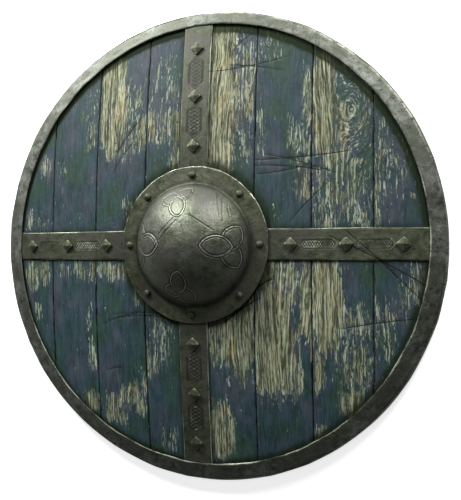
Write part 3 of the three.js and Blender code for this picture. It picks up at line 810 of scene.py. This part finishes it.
def boss(material):
    """The boss in one sheet: dome and flange outside, and the plain hollow inside."""
    under, over = CARRIED, CARRIED + BOSS_THICKNESS
    sphere = (DOME_RADIUS**2 + DOME_HEIGHT**2) / (2 * DOME_HEIGHT)
    centre = front(DOME_RADIUS) + over + DOME_HEIGHT - sphere
    widest = math.asin(DOME_RADIUS / sphere)

    near_top = 0.004
    tilt = np.linspace(near_top, widest, 150)
    dome = np.stack([sphere * np.sin(tilt), centre + sphere * np.cos(tilt)], -1)
    flange_r = np.linspace(DOME_RADIUS + 0.8 * MM, FLANGE_RADIUS - 1.2 * MM, 24)
    flange = np.stack([flange_r, front(flange_r) + over], -1)
    lip_turn = np.linspace(0.2, 1, 5) * math.pi / 2
    lip_radius = 1.2 * MM
    lip = np.stack([FLANGE_RADIUS - lip_radius * (1 - np.sin(lip_turn)),
                    front(FLANGE_RADIUS) + over - lip_radius * (1 - np.cos(lip_turn))], -1)
    below_r = np.linspace(FLANGE_RADIUS - 0.2 * MM, DOME_RADIUS, 4)
    below = np.stack([below_r, front(below_r) + under], -1)
    hollow = sphere - BOSS_THICKNESS
    inner_widest = math.acos((front(DOME_RADIUS) + under - centre) / hollow)
    inner_tilt = np.linspace(inner_widest, 0.01, 16)
    inner = np.stack([hollow * np.sin(inner_tilt), centre + hollow * np.cos(inner_tilt)], -1)

    outer = np.concatenate([dome, flange])
    corner = np.searchsorted(outer[:, 0], DOME_RADIUS)
    blend = outer.copy()
    for _ in range(14):  # runs the dome out into the flange in a soft hollow
        blend[1:-1] = 0.5 * blend[1:-1] + 0.25 * (blend[:-2] + blend[2:])
    near = bump(np.arange(len(outer)) - corner, 9)[:, None]
    outer = outer * (1 - near) + blend * near
    profile = np.concatenate([outer, lip, below, inner])
    seen = (np.arange(len(profile)) < len(outer))[:, None]

    around = 500
    turn = (np.arange(around) / around * 2 * math.pi)[None, :]
    r, z = profile[:, :1], profile[:, 1:]
    x, y = r * np.cos(turn), r * np.sin(turn)
    cut, band = engraving(x / MM, y / MM)
    cut, band = cut * seen, band * seen
    dents = layered(x / 0.022, y / 0.022, 31) + 0.7 * layered(x / 0.06, y / 0.06, 33, 2)
    beaten = 0.32 * MM * (1.2 + dents) * seen * smooth((RIVET_RADIUS * 1.1 - r) / (20 * MM))
    on_flange = smooth((r - 108 * MM) / (15 * MM)) * seen
    wave = 0.3 * MM * (1 + noise(turn * 3, 0 * turn, 34)) * on_flange
    height = z - beaten - wave - 0.9 * MM * cut
    ragged = 1 - 0.004 * (1 + noise(turn * 7, 0 * turn, 35)) * smooth((r - 125 * MM) / (5 * MM))
    rings = np.stack(np.broadcast_arrays(x * ragged, y * ragged, height), -1)
    edge = bump(r - FLANGE_RADIUS + 0.8 * MM, 1.7 * MM) * (z > front(FLANGE_RADIUS) + under + 0.5 * MM)
    # Painted highlight: the flange's edge is brightened on its upper side, which faces the lamps. The
    # bands between the cut lines are bright with wear.
    facing_lamps = smooth(0.45 + 0.8 * np.sin(turn))
    wear_and_highlight = 1.1 * edge * facing_lamps * (0.75 + 0.4 * noise(turn * 14, 0 * turn, 36)) + 0.75 * band
    # Painted shade: the crease at the dome's foot and the dome's lower side are darkened.
    crease_shade = 0.6 * bump(r - DOME_RADIUS - 1 * MM, 5 * MM) * seen
    is_dome = smooth((DOME_RADIUS - r) / (6 * MM)) * seen
    lower_shade = 0.4 * smooth(-(y + 8 * MM) / (70 * MM)) * is_dome
    grooves_and_shade = np.clip(cut + crease_shade + lower_shade, 0, 1)
    tone = 0.15 + 0.75 * is_dome
    fields = {"iron": np.stack(np.broadcast_arrays(wear_and_highlight, grooves_and_shade, tone), -1)}
    points, faces, fields = loft(rings, fields)
    make_piece("boss", points, faces, fields, material)


def over_grip(radius, angle):
    return abs(math.sin(angle)) * radius < GRIP_HALF_WIDTH and radius < GRIP_LENGTH / 2


def fastener(name, radius, angle, base, head, squareness, material, seed):
    """A stud or rivet: head is its rings of (radius, height) in millimetres above base.

    Squareness is 2 for a round head and near 1 for a square one.
    """
    depth = BOARD_THICKNESS + GAP + (UNDER_GRIP if over_grip(radius, angle) else 0)
    tail_height, tail_radius, shank = 1.8 * MM, 4.6 * MM, 2.8 * MM
    tail_turn = np.linspace(0.15, 1, 5) * math.pi / 2
    tail = [(tail_radius * math.sin(t), -depth - tail_height * math.cos(t)) for t in tail_turn]
    stem = [(shank, -depth), (shank, base)]
    rings = tail + stem + [(r * MM, base + z * MM) for r, z in head]
    head_rows = (np.arange(len(rings)) >= len(tail) + len(stem))[:, None]
    around = 48
    turn = np.arange(around) / around * 2 * math.pi
    c, s = np.cos(turn), np.sin(turn)
    square = (np.abs(c) ** squareness + np.abs(s) ** squareness) ** (-1 / squareness)
    made = []
    for (r, z), is_head in zip(rings, head_rows[:, 0]):
        shape = square if is_head else np.ones(around)
        made.append(np.stack([r * shape * c, r * shape * s, np.full(around, z)], -1))
    made = np.array(made)
    skew = 1 + 0.03 * noise(made[..., 0] / (6 * MM), made[..., 1] / (6 * MM), seed)
    made[..., 0] *= np.where(head_rows, skew, 1)
    dents = 0.18 * MM * (1 + noise(made[..., 0] / (4 * MM), made[..., 1] / (4 * MM), seed + 1))
    made[..., 2] -= dents * head_rows * (made[..., 2] > base + 1.2 * MM)
    crooked = math.radians(4 * math.sin(seed * 2.4))
    turned = Matrix.Rotation(lean(radius), 3, "Y") @ Matrix.Rotation(crooked, 3, "Z")
    made = made @ np.array(turned).T + np.array([radius, 0, front(radius)])
    height = np.array([z for _, z in rings])[:, None]
    tip = height.max()
    # The tip, the ridges and the skirt's top edge are brightened: wear, with a painted highlight on the
    # ridges.
    wear_and_highlight = np.clip((height - base) / (tip - base), 0, 1) ** 2 * 0.16
    if squareness < 2:
        ridge = np.clip(np.maximum(np.abs(c), np.abs(s)) * 8 - 7, 0, 1)[None, :]
        skirt_edge = bump(height - base - 3.5 * MM, 0.5 * MM)
        wear_and_highlight = wear_and_highlight + 0.2 * ridge * (height > base + 3 * MM) + 0.4 * skirt_edge
    # Painted shade: the head's foot and the stem are darkened.
    grooves_and_shade = 0.8 * smooth((1.6 * MM - height + base) / (1.6 * MM)) * np.ones((1, around))
    tone = 0.3
    fields = {"iron": np.stack(np.broadcast_arrays(wear_and_highlight, grooves_and_shade, tone), -1)}
    points, faces, fields = loft(made, fields)
    make_piece(name, placed(points, angle), faces, fields, material)


def studs(material):
    """Pyramid heads: an upright skirt, and a low slope to a blunt tip."""
    corner, shoulder, skirt, top = 11.8, 11.0, 3.4, 6.2
    side = [(corner + (shoulder - corner) * t, skirt * t) for t in np.linspace(0, 0.9, 4)]
    slope = [(shoulder - 0.5 - (shoulder - 1.6) * t, skirt + 0.1 + (top - skirt - 0.1) * t)
             for t in np.linspace(0, 1, 9)]
    head, squareness = [*side, *slope], 1.12
    base = STRAP_THICKNESS + GAP * 0.8
    for number, (arm, angle) in enumerate(ARMS.items()):
        for i, radius in enumerate(STUD_RADII):
            name, seed = f"stud_{arm}_{i + 1}", len(STUD_RADII) * number + i
            fastener(name, radius, angle, base, head, squareness, material, seed)


def rivets(material):
    """Round heads in a ring on the boss's flange."""
    head_radius, head_height = 6.3, 4.6
    arc = np.linspace(0, 0.94, 10) * math.pi / 2
    head = [(head_radius * math.cos(t), head_height * math.sin(t)) for t in arc]
    squareness, base, first_seed = 2.0, CARRIED + BOSS_THICKNESS, 50
    for i in range(RIVETS):
        name, angle = f"boss_rivet_{i + 1}", i * 2 * math.pi / RIVETS
        fastener(name, RIVET_RADIUS, angle, base, head, squareness, material, first_seed + i)


def grip(material):
    """A flat batten across the back, with a rounder and thicker handle in its middle."""
    sections, around = 200, 40
    handle_end, handle_flare, end_taper = 56 * MM, 40 * MM, 24 * MM
    handle_width, handle_thickness = 31, 22
    batten_width, batten_thickness = 44, 9
    x = np.linspace(-GRIP_LENGTH / 2, GRIP_LENGTH / 2, sections)[:, None]
    turn = (np.arange(around) / around * 2 * math.pi)[None, :]
    away = np.abs(x)
    batten = smooth((away - handle_end) / handle_flare)
    end = smooth((GRIP_LENGTH / 2 - away) / end_taper)
    width = (handle_width + (batten_width - handle_width) * batten) * MM * (0.6 + 0.4 * end)
    thickness = (handle_thickness + (batten_thickness - handle_thickness) * batten) * MM
    power = 0.7 - 0.38 * batten
    across = np.sign(np.cos(turn)) * np.abs(np.cos(turn)) ** power
    up = np.sign(np.sin(turn)) * np.abs(np.sin(turn)) ** power
    whittled = 1 - 0.03 * (1 + noise(x / 0.03, turn * 1.3, 71))
    y = width / 2 * across * whittled
    z = front(away) - BOARD_THICKNESS - 2 * GAP - thickness / 2 * (1 - up * whittled) - 0.1 * MM
    rings = np.stack(np.broadcast_arrays(x, y, z), -1)
    handled = smooth((70 * MM - away) / (30 * MM)) * 0.75
    grain = y + z * 0.6 + 2 * MM * noise(x / 0.1, y / 0.01, 72)
    fields = {"wood": np.stack(np.broadcast_arrays(grain, x, handled), -1)}
    points, faces, fields = loft(rings, fields)
    make_piece("grip_bar", points, faces, fields, material)


# --- Stage, lights and camera ---------------------------------------------------------------------
def floor():
    """A wide pale floor that glows a little, so that it stays white to the picture's edges."""
    half = 6.0
    mesh = bpy.data.meshes.new("floor")
    square = [(-half, -half, 0), (half, -half, 0), (half, half, 0), (-half, half, 0)]
    mesh.from_pydata(square, [], [(0, 1, 2, 3)])
    pale = bpy.data.materials.new("floor_paper")
    pale.use_nodes = True
    shader = pale.node_tree.nodes["Principled BSDF"]
    shader.inputs["Base Color"].default_value = (0.93, 0.93, 0.93, 1)
    shader.inputs["Roughness"].default_value = 0.9
    shader.inputs["Specular IOR Level"].default_value = 0.1
    shader.inputs["Emission Color"].default_value = (1, 1, 1, 1)
    shader.inputs["Emission Strength"].default_value = 0.7
    mesh.materials.append(pale)
    plane = bpy.data.objects.new("floor", mesh)
    bpy.context.scene.collection.objects.link(plane)


def soft_light(name, place, size, power, colour=(1, 1, 1)):
    """A round lamp of the given width in metres and power in watts, turned to the shield."""
    light = bpy.data.lights.new(name, "AREA")
    light.shape = "DISK"
    light.size = size
    light.energy = power
    light.color = colour
    lamp = bpy.data.objects.new(name, light)
    lamp.location = place
    lamp.rotation_euler = (-Vector(place)).to_track_quat("-Z", "Y").to_euler()
    bpy.context.scene.collection.objects.link(lamp)


def lights():
    """Two soft lamps beyond the shield's top edge, a weak one over it, and a little light all round."""
    soft_light("upper_left", (-0.88, 1.26, 0.72), 0.45, 48, (1.0, 1.0, 0.97))
    soft_light("upper_right", (0.74, 1.34, 0.72), 0.45, 29, (1.0, 0.99, 0.95))
    soft_light("overhead", (-0.2, 0.5, 2.4), 2.0, 6)
    world = bpy.data.worlds.new("studio")
    world.use_nodes = True
    background = world.node_tree.nodes["Background"]
    background.inputs["Color"].default_value = (0.95, 0.97, 1.0, 1)
    background.inputs["Strength"].default_value = 0.075
    bpy.context.scene.world = world


def camera():
    """Looks down on the lying shield from a little to its right, with its top edge up."""
    focal_length = 39.1
    lens = bpy.data.cameras.new("camera")
    lens.lens = focal_length
    lens.sensor_width = 36
    view = bpy.data.objects.new("camera", lens)
    bpy.context.scene.collection.objects.link(view)
    place, target = Vector((0.3495, -0.0161, 0.8784)), Vector((0.0557, -0.0084, 0.0112))
    forward = (target - place).normalized()
    right = forward.cross(Vector((0, 1, 0))).normalized()
    up = right.cross(forward)
    view.matrix_world = Matrix.Translation(place) @ Matrix((right, up, -forward)).transposed().to_4x4()
    bpy.context.scene.camera = view


# --- The shield -----------------------------------------------------------------------------------
camera()
floor()
lights()
bpy.context.scene.view_settings.view_transform = "Standard"

PAINTED = painted_wood()
for plank_number in WEAR:
    plank(plank_number, PAINTED)
RIM_IRON = iron("rim_iron", (0.041, 0.046, 0.033), (0.236, 0.258, 0.216), (0.57, 0.61, 0.49),
                (0.086, 0.094, 0.068), 0.6, mottling=0.15)
STRAP_IRON = iron("strap_iron", (0.028, 0.036, 0.020), (0.092, 0.105, 0.066), (0.44, 0.50, 0.38),
                  (0.066, 0.063, 0.054), 0.6, metallic=0.6)
BOSS_IRON = iron("boss_iron", (0.042, 0.050, 0.029), (0.110, 0.124, 0.080), (0.52, 0.54, 0.47),
                 (0.074, 0.076, 0.058), 0.5)
STUD_IRON = iron("stud_iron", (0.034, 0.040, 0.024), (0.088, 0.100, 0.064), (0.24, 0.27, 0.18),
                 (0.060, 0.064, 0.042), 0.6)
iron_rim(RIM_IRON)
for arm_name, arm_angle in ARMS.items():
    strap(arm_name, arm_angle, STRAP_IRON)
boss(BOSS_IRON)
studs(STUD_IRON)
rivets(STUD_IRON)
grip(bare_wood())
